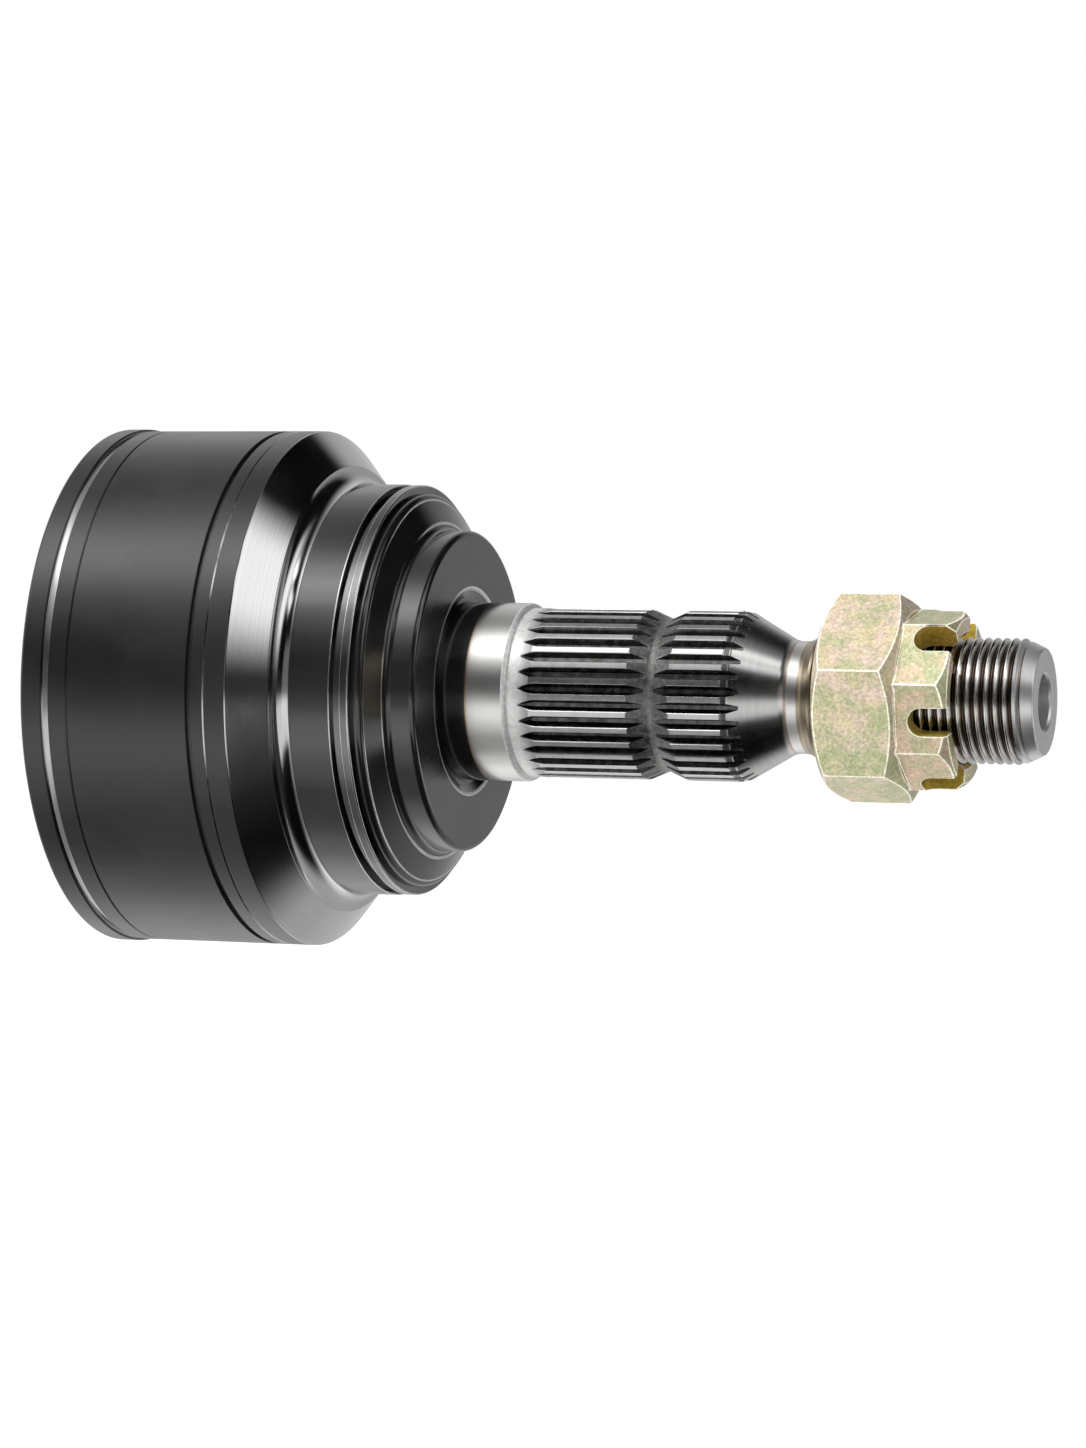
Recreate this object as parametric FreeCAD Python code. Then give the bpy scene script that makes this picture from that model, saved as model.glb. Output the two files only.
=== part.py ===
import FreeCAD, Part
import math
import os
from FreeCAD import Vector

# Fixed-ball constant velocity joint: bell with its stub shaft, inner race,
# cage, six balls, circlip, dust ring and castle nut. Millimetres and degrees.
# The origin is the joint centre, +X runs along the spin axis to the threaded
# end, the mouth of the bell faces -X, and +Z is up.

os.makedirs("parts", exist_ok=True)

# Running parts inside the bell
shaft_spline_radius = 12.0      # root of the teeth that the drive shaft takes
shaft_spline_depth = 0.9
shaft_spline_teeth = 30
shaft_root_land = 1.0           # flat at the root of a tooth space in the bore
shaft_neck_radius = 11.0        # shaft just outside the inner race
inner_race_wall = 8.07          # under a ball, at mid length
inner_race_length = 21.0
inner_race_chamfer = 1.0
ball_radius = 8.731             # 11/16 inch ball
ball_count = 6
track_offset = 3.0              # each track's arc centre, from the joint centre
track_clearance = 0.2           # ball to track
track_end_room = 1.0            # degrees left in front of a ball at full bend
joint_angle = 45.0              # largest bend to either side
cage_thickness = 5.6
cage_drop = 1.0                 # middle of the cage wall, inside the ball circle
cage_length = 28.0
cage_end_chamfer = 1.0
window_clearance = 0.15         # beyond what the ball's travel takes
window_corner = 3.0
seat_clearance = 0.2            # spherical seats, cage to either race
cavity_depth = 25.0             # flat bottom of the bell, from the joint centre

# Circlip in the bore of the inner race
circlip_wire = 1.8
circlip_bite = 0.45             # stands inside the roots of the spline
circlip_groove_room = 0.15      # round the wire
circlip_land = 1.8              # race left between the groove and its end
circlip_opening = 36.0          # degrees

# Outside of the bell, from the rim to the shoulder
mouth_depth = 21.4              # rim, from the joint centre
bell_wall = 4.6                 # outside a track, where it is deepest
bell_length = 35.6              # rim to shoulder edge
rim_land = 0.5
rim_edge = 0.5
lip_rise = 0.3
lip_width = 3.7
lip_groove_width = 1.2
lip_groove_depth = 0.35
scribe_place = 7.9              # from the rim
scribe_width = 0.3
scribe_depth = 0.12
clamp_groove_place = 28.8       # from the rim
clamp_groove_width = 0.85
clamp_groove_depth = 0.7

# Behind the shoulder: cone, collar, seat of the dust ring and two steps
shoulder_cone_length = 4.9
collar_radius = 33.9
collar_width = 6.3
collar_fillet = 3.0             # concave, at the foot of the cone
ring_seat_drop = 1.5            # from the collar to the seat
ring_sleeve_wall = 0.5
ring_sleeve_width = 1.55
ring_flange_width = 1.6
ring_flange_drop = 0.1          # flange below the collar
ring_edge = 0.25
ring_seat_land = 0.5            # seat left free behind the flange
web_round = 1.1                 # rounded edge behind the seat
web_face_width = 1.85           # steep conical face
hub_radius = 26.4
hub_width = 4.9
hub_fillet = 1.2                # concave, at its foot
hub_round = 1.0                 # edge of the bearing face
face_relief_radius = 16.9       # round the shaft
face_relief_depth = 1.0
face_relief_floor = 0.7

# Stub shaft, from the bearing face to the threaded end
journal_radius = 14.6
journal_length = 10.3
hub_spline_radius = 13.8        # tips of the teeth
hub_spline_depth = 1.2
hub_spline_teeth = 32
hub_spline_first = 3.1          # a tooth's place, down from the near side
root_land = 0.62                # flat at the root of a tooth space
flank_lean = 0.5                # half width gained for each mm of height
runout_place = 2.1              # tips of the run-outs, from the journal's shoulder
runout_length = 2.1
runout_tip = 0.04
long_spline_length = 20.1
spline_chamfer_length = 3.2
waist_radius = 12.4
waist_width = 0.7
short_spline_length = 9.8
tip_relief_length = 1.2
tip_relief_depth = 0.25
neck_radius = 9.05
neck_cone_angle = 30.0
neck_length = 2.7
thread_radius = 10.0
thread_lead_length = 1.5
thread_length = 33.0
thread_chamfer_length = 3.4
thread_chamfer_depth = 1.52
centre_hole_radius = 4.4
centre_hole_depth = 11.0
centre_hole_edge = 0.4
drill_point_angle = 118.0

# Castle nut
nut_standoff = 2.0              # from the start of the full thread
nut_flats = 30.0
nut_hex_height = 13.5
nut_hex_turn = 45.5             # a corner's place, down from the near side
nut_chamfer_angle = 30.0
nut_washer_face_radius = 14.2
nut_crown_radius = 14.6         # corners of the eight-sided crown
nut_crown_sides = 8
nut_crown_turn = -9.1
nut_crown_height = 8.3
nut_crown_chamfer = 1.5
nut_slot_count = 6
nut_slot_width = 4.5
nut_slot_depth = 6.3
nut_bore_clearance = 0.05
nut_countersink = 0.9

# Sizes that follow from these
ball_circle_radius = shaft_spline_radius + inner_race_wall + ball_radius + track_clearance
track_radius = math.hypot(ball_circle_radius, track_offset)
track_bore = ball_radius + track_clearance
cage_inner_radius = ball_circle_radius - cage_drop - cage_thickness / 2
cage_outer_radius = cage_inner_radius + cage_thickness
inner_race_radius = cage_inner_radius - seat_clearance
seat_radius = cage_outer_radius + seat_clearance
bell_radius = track_radius + track_bore + bell_wall

# A ball drifts from the mid plane of the cage and along its window as the
# joint bends, so a window is that much wider and longer than the ball.
half_bend = math.radians(joint_angle / 2)
ball_drift = track_offset * (1 - math.cos(half_bend))
ball_swing = ball_circle_radius * math.tan(half_bend / 2) ** 2
window_width = 2 * (ball_radius + ball_drift + window_clearance)
window_length = 2 * (ball_radius + ball_swing + window_clearance)

# Places along the axis
rim_x = -mouth_depth
shoulder_x = rim_x + bell_length
cone_end_x = shoulder_x + shoulder_cone_length
collar_x = cone_end_x + collar_fillet
ring_seat_x = collar_x + collar_width
ring_flange_x = ring_seat_x + ring_sleeve_width
web_x = ring_flange_x + ring_flange_width + ring_seat_land
web_face_x = web_x + web_round
hub_x = web_face_x + web_face_width
face_x = hub_x + hub_width
journal_end_x = face_x + journal_length
spline_x = journal_end_x + journal_radius - hub_spline_radius
long_spline_end_x = spline_x + long_spline_length
waist_x = long_spline_end_x + spline_chamfer_length
waist_end_x = waist_x + waist_width
short_spline_x = waist_end_x + spline_chamfer_length
short_spline_end_x = short_spline_x + short_spline_length
tip_relief_radius = hub_spline_radius - tip_relief_depth
neck_cone_length = (tip_relief_radius - neck_radius) / math.tan(math.radians(neck_cone_angle))
neck_x = short_spline_end_x + neck_cone_length
neck_end_x = neck_x + neck_length
thread_x = neck_end_x + thread_lead_length
thread_end_x = thread_x + thread_length
end_x = thread_end_x + thread_chamfer_length

# Radii behind the shoulder
ring_seat_radius = collar_radius - ring_seat_drop
ring_flange_radius = collar_radius - ring_flange_drop

# How far a cutter runs past what it cuts, in millimetres and in degrees
overcut = 1.0
overturn = 5.0

ORIGIN = Vector(0, 0, 0)
SPIN_AXIS = Vector(1, 0, 0)


# Solid turned about the spin axis. The outline starts at (x, radius). A step
# (x, radius) is a straight run, and (x, radius, x, radius) an arc through its
# first point to its second.
def turned(start, steps):
    here = Vector(start[0], start[1], 0)
    edges = []
    for step in steps + [start]:
        end = Vector(step[-2], step[-1], 0)
        if len(step) == 4:
            middle = Vector(step[0], step[1], 0)
            edges.append(Part.Arc(here, middle, end).toShape())
        elif (end - here).Length > 1e-6:
            edges.append(Part.makeLine(here, end))
        here = end
    return Part.Face(Part.Wire(edges)).revolve(ORIGIN, SPIN_AXIS, 360)


# Point (x, radius) on a circle round a centre on the outline's plane
def on_circle(centre_x, centre_r, radius, angle):
    turn = math.radians(angle)
    return (centre_x + radius * math.cos(turn), centre_r + radius * math.sin(turn))


# Height of a circle round (centre_x, 0) at a place along the axis
def height_at(x, radius, centre_x=0.0):
    return math.sqrt(radius ** 2 - (x - centre_x) ** 2)


def about_axis(shape, angle):
    copy = shape.copy()
    copy.rotate(ORIGIN, SPIN_AXIS, angle)
    return copy


# Copies of one shape spaced evenly about the spin axis
def ring_of(shape, count, first=0.0):
    return [about_axis(shape, first + i * 360.0 / count) for i in range(count)]


# Tube that a ball clears in a race: its centre line is an arc in the plane
# of the ball and the axis, round a point on the axis.
def track_tube(centre_x, angle_from, angle_to):
    x, y = on_circle(centre_x, 0, track_radius, angle_from)
    turn = math.radians(angle_from)
    along = Vector(-math.sin(turn), math.cos(turn), 0)
    section = Part.Face(Part.Wire(Part.makeCircle(track_bore, Vector(x, y, 0), along)))
    return section.revolve(Vector(centre_x, 0, 0), Vector(0, 0, 1), angle_to - angle_from)


# Tooth space of a spline on the near side, as sections along the axis. Each
# section is (x, radius of its floor, half width of its floor).
def tooth_space(sections, outer_radius):
    wires = []
    for x, floor, half in sections:
        top = half + flank_lean * (outer_radius - floor)
        corners = [(-half, -floor), (half, -floor), (top, -outer_radius), (-top, -outer_radius)]
        points = [Vector(x, y, z) for z, y in corners]
        wires.append(Part.makePolygon(points + points[:1]))
    return Part.makeLoft(wires, True, True)


# Bell and stub shaft in one forging. Its outline goes out along the outside
# from the mouth to the threaded end, and comes back through the bell.
def outer_race():
    neck_lean = math.tan(math.radians(joint_angle))
    neck_height = shaft_neck_radius / math.cos(math.radians(joint_angle))
    # The mouth opens along the bent shaft's edge, which leaves the seat here.
    a = 1 + neck_lean ** 2
    b = neck_lean * neck_height
    c = neck_height ** 2 - seat_radius ** 2
    seat_start = (math.sqrt(b ** 2 - a * c) - b) / a
    seat_start_radius = height_at(seat_start, seat_radius)
    mouth_radius = (mouth_depth - rim_edge) * neck_lean + neck_height

    lip_radius = bell_radius + lip_rise
    lip_end_x = rim_x + lip_width
    band_x = lip_end_x + lip_groove_width
    lip_floor = bell_radius - lip_groove_depth
    scribe_x = rim_x + scribe_place
    scribe_floor = bell_radius - scribe_depth
    clamp_x = rim_x + clamp_groove_place
    clamp_end_x = clamp_x + clamp_groove_width
    clamp_floor = bell_radius - clamp_groove_depth
    bell = [
        (rim_x, lip_radius - rim_edge),
        (rim_x + rim_edge, lip_radius),
        (lip_end_x, lip_radius),
        (lip_end_x, lip_floor),
        (band_x, lip_floor),
        (band_x, bell_radius),
        (scribe_x, bell_radius),
        (scribe_x + scribe_width / 2, scribe_floor),
        (scribe_x + scribe_width, bell_radius),
        (clamp_x, bell_radius),
        (clamp_x, clamp_floor),
        (clamp_end_x, clamp_floor),
        (clamp_end_x, bell_radius),
        (shoulder_x, bell_radius),
    ]

    fillet_radius = collar_radius + collar_fillet
    seat_end_x = web_x
    hub_foot = hub_radius + hub_fillet
    collar = [
        (cone_end_x, fillet_radius),
        on_circle(collar_x, fillet_radius, collar_fillet, 225) + (collar_x, collar_radius),
        (ring_seat_x, collar_radius),
        (ring_seat_x, ring_seat_radius),
        (seat_end_x, ring_seat_radius),
        on_circle(seat_end_x, ring_seat_radius - web_round, web_round, 45)
        + (web_face_x, ring_seat_radius - web_round),
        (hub_x, hub_foot),
        on_circle(hub_x + hub_fillet, hub_foot, hub_fillet, 225) + (hub_x + hub_fillet, hub_radius),
        (face_x - hub_round, hub_radius),
        on_circle(face_x - hub_round, hub_radius - hub_round, hub_round, 45)
        + (face_x, hub_radius - hub_round),
        (face_x, face_relief_radius),
        (face_x - face_relief_depth, journal_radius + face_relief_floor),
        (face_x - face_relief_depth, journal_radius),
    ]

    journal_drop = journal_radius - hub_spline_radius
    shaft = [
        (journal_end_x, journal_radius),
        on_circle(journal_end_x, hub_spline_radius, journal_drop, 45) + (spline_x, hub_spline_radius),
        (long_spline_end_x, hub_spline_radius),
        (waist_x, waist_radius),
        (waist_end_x, waist_radius),
        (short_spline_x, hub_spline_radius),
        (short_spline_end_x - tip_relief_length, hub_spline_radius),
        (short_spline_end_x - tip_relief_length, tip_relief_radius),
        (short_spline_end_x, tip_relief_radius),
        (neck_x, neck_radius),
        (neck_end_x, neck_radius),
        (thread_x, thread_radius),
        (thread_end_x, thread_radius),
        (end_x, thread_radius - thread_chamfer_depth),
    ]

    hole_x = end_x - centre_hole_depth
    point_length = centre_hole_radius / math.tan(math.radians(drill_point_angle / 2))
    hole = [
        (end_x, centre_hole_radius + centre_hole_edge),
        (end_x - centre_hole_edge, centre_hole_radius),
        (hole_x, centre_hole_radius),
        (hole_x - point_length, 0),
    ]

    cavity = [
        (cavity_depth, 0),
        (cavity_depth, height_at(cavity_depth, seat_radius)),
        (0, seat_radius, -seat_start, seat_start_radius),
        (rim_x + rim_edge, mouth_radius),
        (rim_x, mouth_radius + rim_land),
    ]
    blank = turned(bell[0], bell[1:] + collar + shaft + hole + cavity)

    # The tracks run from where a ball's front gets to out through the mouth.
    ball_width = math.degrees(math.asin(track_bore / track_radius))
    rest = math.degrees(math.atan2(ball_circle_radius, track_offset))
    track_end = rest - joint_angle / 2 - ball_width - track_end_room
    track_mouth = math.degrees(math.atan2(mouth_radius, rim_x + track_offset)) + overturn
    race = blank.cut(ring_of(track_tube(-track_offset, track_end, track_mouth), ball_count))

    # Tooth spaces start as pointed run-outs and leave through the neck's cone.
    runout_x = spline_x + runout_place
    root_radius = hub_spline_radius - hub_spline_depth
    spaces_end = short_spline_end_x + (tip_relief_radius - root_radius) / math.tan(
        math.radians(neck_cone_angle))
    space = tooth_space(
        [
            (runout_x, hub_spline_radius, runout_tip / 2),
            (runout_x + runout_length, root_radius, root_land / 2),
            (spaces_end + overcut, root_radius, root_land / 2),
        ],
        hub_spline_radius + overcut)
    half_pitch = 180.0 / hub_spline_teeth
    return race.cut(ring_of(space, hub_spline_teeth, hub_spline_first + half_pitch))


# Angle-section deflector ring, pressed on its seat against the collar
def dust_ring():
    sleeve_radius = ring_seat_radius + ring_sleeve_wall
    flange_end_x = ring_flange_x + ring_flange_width
    return turned(
        (ring_seat_x, ring_seat_radius),
        [
            (ring_seat_x, sleeve_radius),
            (ring_flange_x, sleeve_radius),
            (ring_flange_x, ring_flange_radius - ring_edge),
            (ring_flange_x + ring_edge, ring_flange_radius),
            (flange_end_x - ring_edge, ring_flange_radius),
            (flange_end_x, ring_flange_radius - ring_edge),
            (flange_end_x, ring_seat_radius),
        ])


# Cage: a spherical band with a window for each ball
def cage():
    end = cage_length / 2
    outer_end = height_at(end, cage_outer_radius)
    inner_end = height_at(end, cage_inner_radius)
    chamfer_outer = height_at(end - cage_end_chamfer, cage_outer_radius)
    chamfer_inner = height_at(end - cage_end_chamfer, cage_inner_radius)
    band = turned(
        (-end, inner_end + cage_end_chamfer),
        [
            (-end, outer_end - cage_end_chamfer),
            (-end + cage_end_chamfer, chamfer_outer),
            (0, cage_outer_radius, end - cage_end_chamfer, chamfer_outer),
            (end, outer_end - cage_end_chamfer),
            (end, inner_end + cage_end_chamfer),
            (end - cage_end_chamfer, chamfer_inner),
            (0, cage_inner_radius, -end + cage_end_chamfer, chamfer_inner),
        ])
    # The band's inner wall curves in towards the ends of a window.
    inside = math.sqrt(cage_inner_radius ** 2 - window_width ** 2 / 4 - window_length ** 2 / 4)
    corner = Vector(-window_width / 2, inside - overcut, -window_length / 2)
    reach = cage_outer_radius + 2 * overcut - inside
    window = Part.makeBox(window_width, reach, window_length, corner)
    corners = [edge for edge in window.Edges if abs(edge.tangentAt(edge.FirstParameter).y) > 0.9]
    window = window.makeFillet(window_corner, corners)
    return band.cut(ring_of(window, ball_count))


# Inner race: a spherical star with a track for each ball and a splined bore
def inner_race():
    end = inner_race_length / 2
    bore_radius = shaft_spline_radius - shaft_spline_depth
    end_radius = height_at(end, inner_race_radius)
    groove_radius = circlip_centre_radius() + circlip_wire / 2 + circlip_groove_room
    groove_end_x = end - circlip_land
    groove_x = groove_end_x - circlip_wire - 2 * circlip_groove_room
    blank = turned(
        (-end, shaft_spline_radius + inner_race_chamfer),
        [
            (-end, end_radius),
            (0, inner_race_radius, end, end_radius),
            (end, shaft_spline_radius + inner_race_chamfer),
            (end - inner_race_chamfer, shaft_spline_radius),
            (end - inner_race_chamfer, bore_radius),
            (groove_end_x, bore_radius),
            (groove_end_x, groove_radius),
            (groove_x, groove_radius),
            (groove_x, bore_radius),
            (-end + inner_race_chamfer, bore_radius),
            (-end + inner_race_chamfer, shaft_spline_radius),
        ])
    track_end = math.degrees(math.atan2(bore_radius, end - track_offset)) - overturn
    track_mouth = math.degrees(math.atan2(bore_radius, -end - track_offset)) + overturn
    race = blank.cut(ring_of(track_tube(track_offset, track_end, track_mouth), ball_count))

    root_half = shaft_root_land / 2
    mouth_half = root_half + flank_lean * (shaft_spline_depth + overcut)
    inside = bore_radius - overcut
    outline = [
        (root_half, shaft_spline_radius),
        (-root_half, shaft_spline_radius),
        (-mouth_half, inside),
        (mouth_half, inside),
    ]
    points = [Vector(-end - overcut, -radius, across) for across, radius in outline]
    face = Part.Face(Part.makePolygon(points + points[:1]))
    space = face.extrude(Vector(inner_race_length + 2 * overcut, 0, 0))
    return race.cut(ring_of(space, shaft_spline_teeth))


# Centre line of the circlip's wire
def circlip_centre_radius():
    return shaft_spline_radius - circlip_bite + circlip_wire / 2


# Open wire ring that keeps the drive shaft in the inner race
def circlip():
    x = inner_race_length / 2 - circlip_land - circlip_groove_room - circlip_wire / 2
    centre = Vector(x, circlip_centre_radius(), 0)
    section = Part.Face(Part.Wire(Part.makeCircle(circlip_wire / 2, centre, Vector(0, 0, 1))))
    ring = section.revolve(ORIGIN, SPIN_AXIS, 360.0 - circlip_opening)
    return about_axis(ring, 90.0 + circlip_opening / 2)


def balls():
    centre = Vector(0, ball_circle_radius, 0)
    return ring_of(Part.makeSphere(ball_radius, centre), ball_count)


# Prism with corners on a circle round the axis, the first one down from the
# near side by the angle given
def prism(sides, corner_radius, first, x, length):
    turns = [math.radians(first + i * 360.0 / sides) for i in range(sides)]
    points = [Vector(x, -corner_radius * math.cos(t), -corner_radius * math.sin(t)) for t in turns]
    face = Part.Face(Part.makePolygon(points + points[:1]))
    return face.extrude(Vector(length, 0, 0))


# Castle nut: chamfered hexagon, eight-sided crown and a slot over each flat
def castle_nut():
    x = thread_x + nut_standoff
    hex_end_x = x + nut_hex_height
    top_x = hex_end_x + nut_crown_height
    corner_radius = nut_flats / math.sqrt(3)
    lean = math.tan(math.radians(nut_chamfer_angle))
    reach = corner_radius + overcut
    envelope = turned(
        (x, 0),
        [
            (x, nut_washer_face_radius),
            (x + (reach - nut_washer_face_radius) * lean, reach),
            (hex_end_x - (reach - nut_crown_radius) * lean, reach),
            (hex_end_x, nut_crown_radius),
            (top_x - nut_crown_chamfer, nut_crown_radius),
            (top_x, nut_crown_radius - nut_crown_chamfer),
            (top_x, 0),
        ])
    hexagon = prism(6, corner_radius, nut_hex_turn, x, nut_hex_height)
    crown = prism(nut_crown_sides, nut_crown_radius, nut_crown_turn, x, top_x - x)
    body = hexagon.fuse(crown).common(envelope)

    hole_radius = thread_radius + nut_bore_clearance
    sink_radius = hole_radius + nut_countersink
    hole = turned(
        (x - overcut, 0),
        [
            (x - overcut, sink_radius + overcut),
            (x + nut_countersink, hole_radius),
            (top_x - nut_countersink, hole_radius),
            (top_x + overcut, sink_radius + overcut),
            (top_x + overcut, 0),
        ])

    half = nut_slot_width / 2
    floor_x = top_x - nut_slot_depth
    corner = Vector(floor_x + half, -corner_radius, -half)
    slot = Part.makeBox(nut_slot_depth - half + overcut, corner_radius, nut_slot_width, corner)
    round_end = Part.makeCylinder(
        half, corner_radius, Vector(floor_x + half, -corner_radius, 0), Vector(0, 1, 0))
    slot = slot.fuse(round_end)
    flat_turn = nut_hex_turn - 180.0 / 6
    return body.cut([hole] + ring_of(slot, nut_slot_count, flat_turn)).removeSplitter()


def export(name, shape):
    if not shape.isValid() or len(shape.Solids) != 1:
        raise ValueError(name + " is not one valid solid")
    shape.Solids[0].exportStep("parts/" + name + ".step")


export("outer_race", outer_race())
export("dust_ring", dust_ring())
export("cage", cage())
export("inner_race", inner_race())
export("circlip", circlip())
for number, ball in enumerate(balls(), 1):
    export("ball_" + str(number), ball)
export("castle_nut", castle_nut())
print("ball circle radius", round(ball_circle_radius, 3), "bell radius", round(bell_radius, 3))
print("length", round(end_x - rim_x, 2))
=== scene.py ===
import math

import bmesh
import bpy
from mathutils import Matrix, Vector


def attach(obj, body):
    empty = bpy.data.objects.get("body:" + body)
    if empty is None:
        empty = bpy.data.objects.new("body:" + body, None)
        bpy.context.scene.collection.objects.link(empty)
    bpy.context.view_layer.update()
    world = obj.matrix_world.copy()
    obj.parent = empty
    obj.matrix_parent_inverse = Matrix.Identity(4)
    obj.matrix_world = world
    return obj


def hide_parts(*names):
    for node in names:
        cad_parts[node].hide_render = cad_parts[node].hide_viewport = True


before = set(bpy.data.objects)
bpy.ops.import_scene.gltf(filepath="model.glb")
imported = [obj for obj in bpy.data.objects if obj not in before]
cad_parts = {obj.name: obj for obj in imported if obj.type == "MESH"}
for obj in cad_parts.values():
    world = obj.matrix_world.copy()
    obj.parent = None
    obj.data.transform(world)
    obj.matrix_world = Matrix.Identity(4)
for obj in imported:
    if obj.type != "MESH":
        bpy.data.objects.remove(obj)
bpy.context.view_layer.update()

# The shapes below are written in millimetres and made in metres. The spin axis is X.
mm = 0.001
spinAxis = (1, 0, 0)
mergeGap = 0.002 * mm  # vertices nearer than this become one


# Small helpers: selecting, drawing an outline, turning it, cutting

def deselectAll():
    if bpy.context.object and bpy.context.object.mode != "OBJECT":
        bpy.ops.object.mode_set(mode="OBJECT")
    bpy.ops.object.select_all(action="DESELECT")


def activate(piece):
    deselectAll()
    piece.select_set(True)
    bpy.context.view_layer.objects.active = piece


def enterEdit(piece):
    activate(piece)
    bpy.ops.object.mode_set(mode="EDIT")
    bpy.ops.mesh.select_mode(type="VERT")


def pickVerts(piece, wanted):
    bpy.ops.mesh.select_mode(type="VERT")
    bpy.ops.mesh.select_all(action="DESELECT")
    mesh = bmesh.from_edit_mesh(piece.data)
    for vert in mesh.verts:
        vert.select = bool(wanted(vert.co))
    mesh.select_flush(True)
    bmesh.update_edit_mesh(piece.data)


def pickFaces(piece, wanted):
    bpy.ops.mesh.select_mode(type="FACE")
    bpy.ops.mesh.select_all(action="DESELECT")
    mesh = bmesh.from_edit_mesh(piece.data)
    for face in mesh.faces:
        face.select = bool(wanted(face.calc_center_median(), face.normal))
    bmesh.update_edit_mesh(piece.data)


# One vertex, drawn on as a chain through the points, in mm. A point is (x, y, z).
def drawChain(name, points):
    deselectAll()
    bpy.ops.mesh.primitive_plane_add(size=mm, location=(0, 0, 0))
    piece = bpy.context.object
    piece.name = piece.data.name = name
    bpy.ops.object.mode_set(mode="EDIT")
    bpy.ops.mesh.select_mode(type="VERT")
    bpy.ops.mesh.merge(type="CENTER")
    pen = Vector(points[0])
    bpy.ops.transform.translate(value=pen * mm)
    for point in points[1:]:
        step = (Vector(point) - pen) * mm
        bpy.ops.mesh.extrude_vertices_move(TRANSFORM_OT_translate={"value": step})
        pen = Vector(point)
    return piece


# Draws (x, radius) points. A step of four is an arc: centre x, centre radius, degrees, segments.
def drawOutline(name, steps):
    piece = drawChain(name, [(steps[0][0], 0, steps[0][1])])
    penX, penR = steps[0]
    for step in steps[1:]:
        if len(step) == 2:
            x, r = step
            bpy.ops.mesh.extrude_vertices_move(
                TRANSFORM_OT_translate={"value": ((x - penX) * mm, 0, (r - penR) * mm)})
            penX, penR = x, r
        else:
            midX, midR, turn, count = step
            bpy.ops.mesh.spin(steps=count, angle=math.radians(turn), center=(midX * mm, 0, midR * mm),
                              axis=(0, 1, 0), use_auto_merge=False)
            turn = math.radians(turn)
            dx, dr = penX - midX, penR - midR
            penX = midX + dx * math.cos(turn) - dr * math.sin(turn)
            penR = midR + dx * math.sin(turn) + dr * math.cos(turn)
    return piece


# Rounds corners of an outline: {size: [(x, radius), ...]}
def roundCorners(piece, rounds, segments=3):
    for size, corners in rounds.items():
        places = [Vector((x * mm, 0, r * mm)) for x, r in corners]
        pickVerts(piece, lambda co: any((co - place).length < 0.02 * mm for place in places))
        bpy.ops.mesh.bevel(offset_type="OFFSET", offset=size * mm, segments=segments, affect="VERTICES")


# Turns the outline about the spin axis into a closed body
def turnOutline(piece, steps):
    bpy.ops.mesh.select_all(action="SELECT")
    bpy.ops.mesh.spin(steps=steps, angle=2 * math.pi, center=(0, 0, 0), axis=spinAxis)
    closeMesh(piece)


def closeMesh(piece):
    bpy.ops.mesh.select_all(action="SELECT")
    bpy.ops.mesh.remove_doubles(threshold=mergeGap)
    bpy.ops.mesh.normals_make_consistent(inside=False)
    bpy.ops.object.mode_set(mode="OBJECT")


# Copies what is in the mesh evenly round the spin axis
def ringCopies(count):
    bpy.ops.mesh.select_all(action="SELECT")
    bpy.ops.mesh.spin(steps=count - 1, dupli=True, angle=2 * math.pi * (count - 1) / count,
                      center=(0, 0, 0), axis=spinAxis)


def turnMesh(degrees):
    bpy.ops.mesh.select_all(action="SELECT")
    bpy.ops.transform.rotate(value=-math.radians(degrees), orient_axis="X", center_override=(0, 0, 0))


def applyBoolean(piece, tool, operation):
    activate(piece)
    bpy.ops.object.modifier_add(type="BOOLEAN")
    boolean = piece.modifiers[-1]
    boolean.operation = operation
    boolean.solver = "EXACT"
    boolean.object = tool
    bpy.ops.object.modifier_apply(modifier=boolean.name)
    bpy.data.objects.remove(tool)


# Joins several closed loops of one mesh into a closed body
def loftLoops(name, loops):
    parts = []
    for loop in loops:
        part = drawChain(name, loop + loop[:1])
        bpy.ops.mesh.select_all(action="SELECT")
        bpy.ops.mesh.remove_doubles(threshold=mergeGap)
        bpy.ops.object.mode_set(mode="OBJECT")
        parts.append(part)
    deselectAll()
    for part in parts:
        part.select_set(True)
    bpy.context.view_layer.objects.active = parts[0]
    bpy.ops.object.join()
    piece = bpy.context.object
    enterEdit(piece)
    bpy.ops.mesh.select_all(action="SELECT")
    bpy.ops.mesh.bridge_edge_loops()
    for end in (loops[0], loops[-1]):
        places = [Vector(point) * mm for point in end]
        pickVerts(piece, lambda co: any((co - place).length < 0.005 * mm for place in places))
        bpy.ops.mesh.edge_face_add()
    bpy.ops.mesh.select_all(action="SELECT")
    bpy.ops.mesh.normals_make_consistent(inside=False)
    return piece


# Smooth shading whose normals follow the large faces, so that only the rounded edges bend them
def smoothShade(piece, degrees=32):
    activate(piece)
    bpy.ops.object.shade_smooth_by_angle(angle=math.radians(degrees))
    bpy.ops.object.modifier_add(type="WEIGHTED_NORMAL")
    weighted = piece.modifiers[-1]
    weighted.weight = 100
    weighted.keep_sharp = True
    bpy.ops.object.modifier_apply(modifier=weighted.name)


# Materials

def addNode(tree, kind, inputs=None, **settings):
    made = tree.nodes.new(kind)
    for key, value in settings.items():
        setattr(made, key, value)
    for key, value in (inputs or {}).items():
        if isinstance(value, bpy.types.NodeSocket):
            tree.links.new(value, made.inputs[key])
        else:
            made.inputs[key].default_value = value
    return made


def mathOf(tree, operation, first, second=0.0):
    return addNode(tree, "ShaderNodeMath", {0: first, 1: second}, operation=operation).outputs[0]


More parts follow.
